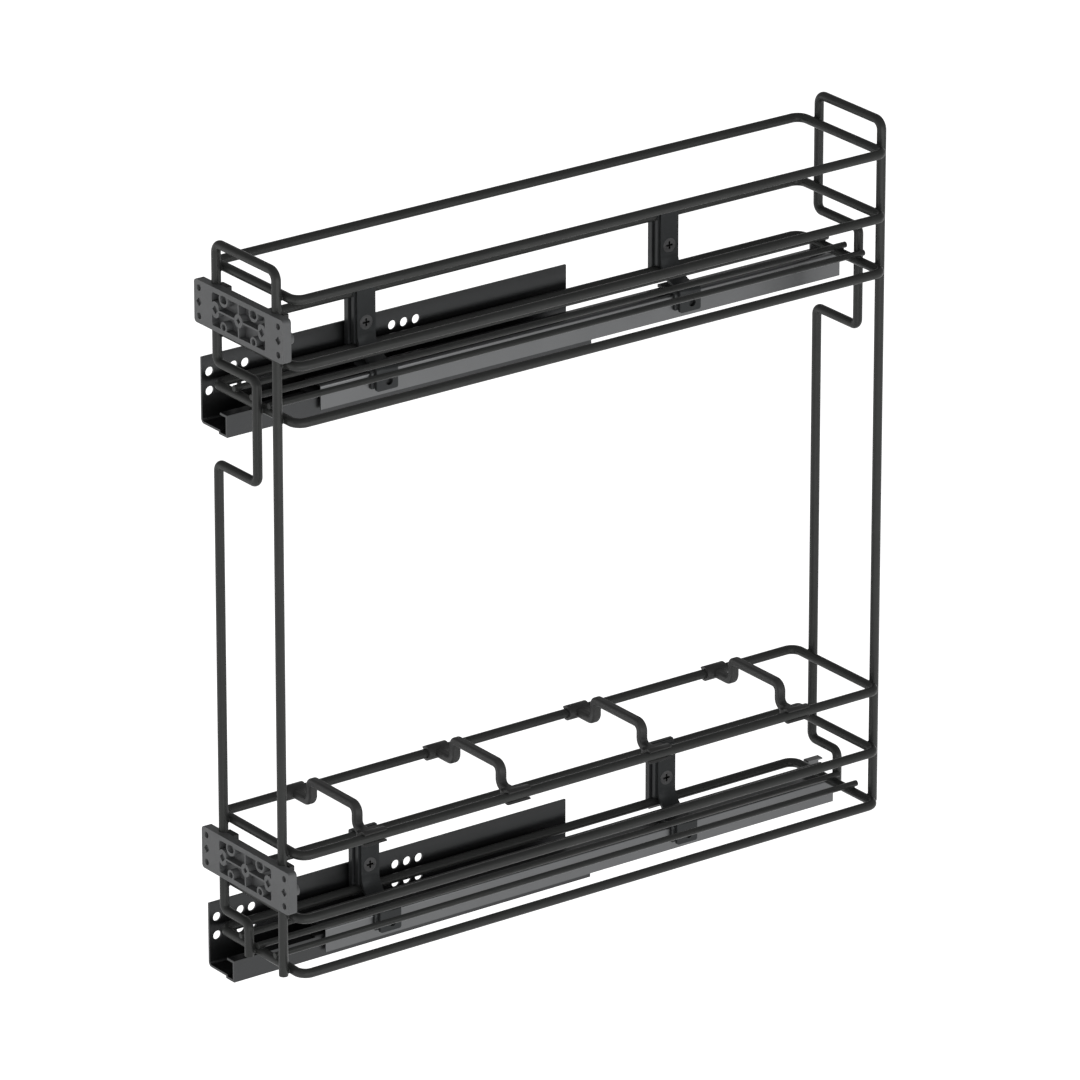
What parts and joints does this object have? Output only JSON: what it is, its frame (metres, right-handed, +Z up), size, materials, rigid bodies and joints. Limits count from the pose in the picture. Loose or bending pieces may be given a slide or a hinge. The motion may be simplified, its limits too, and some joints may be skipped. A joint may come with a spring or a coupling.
{
  "type": "pull-out bottle rack",
  "caption": "Narrow wire pull-out rack for bottles: tiered baskets on side-mounted roller slides, with door plates at the front and sliding bottle dividers.",
  "frame": {"origin": "on the cabinet side wall, at the centre of the lower slide's four main screw holes", "axes": "+X from the cabinet wall into the cabinet, +Y from the door to the back, +Z up"},
  "size_m": [0.099, 0.4755, 0.4896],
  "materials": {
    "wire": "satin charcoal powder coat",
    "profile": "satin dark grey",
    "runner": "satin mid grey",
    "inner_slide": "satin black",
    "cage": "matte",
    "roller": "smooth",
    "needle": "ground",
    "hanger": "satin dark grey",
    "saddle": "satin grey",
    "fastener": "dark plated",
    "door_plate": "fine grain",
    "door_clamp": "fine grain",
    "divider": "fine grain"
  },
  "bodies": {
    "cabinet_rails": {"lower_cabinet_profile": "profile", "upper_cabinet_profile": "profile"},
    "basket": {"front_frame": "wire", "rear_frame": "wire", "hanger_screws": "fastener", "lower_floor_ring": "wire", "lower_middle_ring": "wire", "lower_top_ring": "wire", "lower_floor_wires": "wire", "lower_runner": "runner", "lower_front_hanger": "hanger", "lower_front_clamp_back": "hanger", "lower_front_saddle": "saddle", "lower_rear_hanger": "hanger", "lower_rear_clamp_back": "hanger", "lower_rear_saddle": "saddle", "lower_door_plate": "door_plate", "lower_left_door_clamp": "door_clamp", "lower_right_door_clamp": "door_clamp", "upper_floor_ring": "wire", "upper_middle_ring": "wire", "upper_top_ring": "wire", "upper_floor_wires": "wire", "upper_runner": "runner", "upper_front_hanger": "hanger", "upper_front_clamp_back": "hanger", "upper_front_saddle": "saddle", "upper_rear_hanger": "hanger", "upper_rear_clamp_back": "hanger", "upper_rear_saddle": "saddle", "upper_door_plate": "door_plate", "upper_left_door_clamp": "door_clamp", "upper_right_door_clamp": "door_clamp"},
    "lower_middle_member_body": {"lower_middle_member": "inner_slide"},
    "lower_roller_carriage": {"lower_roller_cage": "cage", "lower_rollers": "roller"},
    "lower_needle_carriage": {"lower_needle_cage": "cage", "lower_needles": "needle"},
    "upper_middle_member_body": {"upper_middle_member": "inner_slide"},
    "upper_roller_carriage": {"upper_roller_cage": "cage", "upper_rollers": "roller"},
    "upper_needle_carriage": {"upper_needle_cage": "cage", "upper_needles": "needle"},
    "divider_1_body": {"divider_1": "divider"},
    "divider_2_body": {"divider_2": "divider"},
    "divider_3_body": {"divider_3": "divider"},
    "divider_4_body": {"divider_4": "divider"}
  },
  "joints": [
    {"name": "basket_slide", "type": "slide", "parent": "cabinet_rails", "child": "basket", "axis": [0, -1, 0], "range_m": [0, 0.4]},
    {"name": "lower_middle_slide", "type": "slide", "parent": "cabinet_rails", "child": "lower_middle_member_body", "axis": [0, -1, 0], "range_m": [0, 0.2]},
    {"name": "lower_roller_travel", "type": "slide", "parent": "cabinet_rails", "child": "lower_roller_carriage", "axis": [0, -1, 0], "range_m": [0, 0.1]},
    {"name": "lower_needle_travel", "type": "slide", "parent": "cabinet_rails", "child": "lower_needle_carriage", "axis": [0, -1, 0], "range_m": [0, 0.3]},
    {"name": "upper_middle_slide", "type": "slide", "parent": "cabinet_rails", "child": "upper_middle_member_body", "axis": [0, -1, 0], "range_m": [0, 0.2]},
    {"name": "upper_roller_travel", "type": "slide", "parent": "cabinet_rails", "child": "upper_roller_carriage", "axis": [0, -1, 0], "range_m": [0, 0.1]},
    {"name": "upper_needle_travel", "type": "slide", "parent": "cabinet_rails", "child": "upper_needle_carriage", "axis": [0, -1, 0], "range_m": [0, 0.3]},
    {"name": "divider_1_slide", "type": "slide", "parent": "basket", "child": "divider_1_body", "axis": [0, 1, 0], "range_m": [-0.033, 0.044]},
    {"name": "divider_2_slide", "type": "slide", "parent": "basket", "child": "divider_2_body", "axis": [0, 1, 0], "range_m": [-0.044, 0.044]},
    {"name": "divider_3_slide", "type": "slide", "parent": "basket", "child": "divider_3_body", "axis": [0, 1, 0], "range_m": [-0.044, 0.044]},
    {"name": "divider_4_slide", "type": "slide", "parent": "basket", "child": "divider_4_body", "axis": [0, 1, 0], "range_m": [-0.044, 0.044]}
  ],
  "couplings": [
    {"joint": "lower_middle_slide", "follows": "basket_slide", "ratio": 0.5},
    {"joint": "lower_roller_travel", "follows": "basket_slide", "ratio": 0.25},
    {"joint": "lower_needle_travel", "follows": "basket_slide", "ratio": 0.75},
    {"joint": "upper_middle_slide", "follows": "basket_slide", "ratio": 0.5},
    {"joint": "upper_roller_travel", "follows": "basket_slide", "ratio": 0.25},
    {"joint": "upper_needle_travel", "follows": "basket_slide", "ratio": 0.75}
  ]
}
